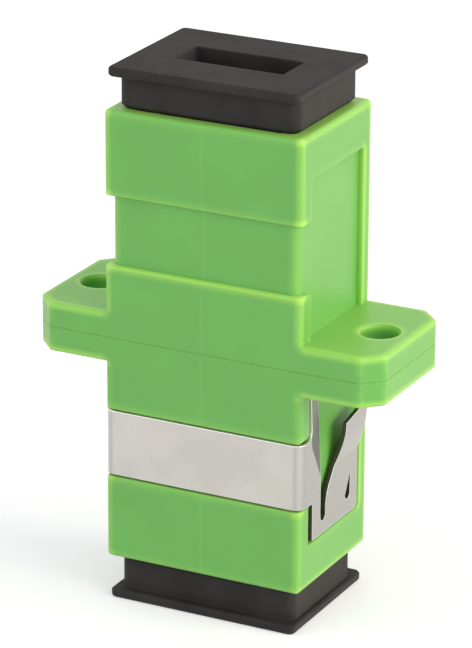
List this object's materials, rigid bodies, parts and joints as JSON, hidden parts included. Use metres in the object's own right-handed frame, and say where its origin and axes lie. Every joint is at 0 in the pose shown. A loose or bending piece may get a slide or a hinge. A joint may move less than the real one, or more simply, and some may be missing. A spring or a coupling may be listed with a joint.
{
  "type": "sc fibre adapter",
  "caption": "Flanged SC simplex fibre adapter: welded green housing, steel panel clip, latch holders, split sleeve, pull-off dust caps.",
  "frame": {"origin": "on the optical axis, at the weld plane in the middle of the flange", "axes": "+Z out of the upper port along the optical axis, X across the flange's ears, the clip's band on the -Y face of the lower half"},
  "size_m": [0.0226, 0.0094, 0.0332],
  "materials": {
    "housing_green": "satin moulded green plastic, slightly translucent",
    "holder_natural": "natural moulded plastic",
    "sleeve_ceramic": "polished white zirconia ceramic",
    "clip_steel": "bright rolled stainless sheet",
    "cap_black": "soft black moulded plastic"
  },
  "bodies": {
    "adapter": {"housing_upper": "housing_green", "housing_lower": "housing_green", "latch_holder_upper": "holder_natural", "latch_holder_lower": "holder_natural", "alignment_sleeve": "sleeve_ceramic", "panel_clip": "clip_steel"},
    "cap_upper": {"dust_cap_upper": "cap_black"},
    "cap_lower": {"dust_cap_lower": "cap_black"}
  },
  "joints": [
    {"name": "cap_upper_pull", "type": "slide", "parent": "adapter", "child": "cap_upper", "axis": [0, 0, 1], "range_m": [0, 0.012]},
    {"name": "cap_lower_pull", "type": "slide", "parent": "adapter", "child": "cap_lower", "axis": [0, 0, -1], "range_m": [0, 0.012]}
  ]
}
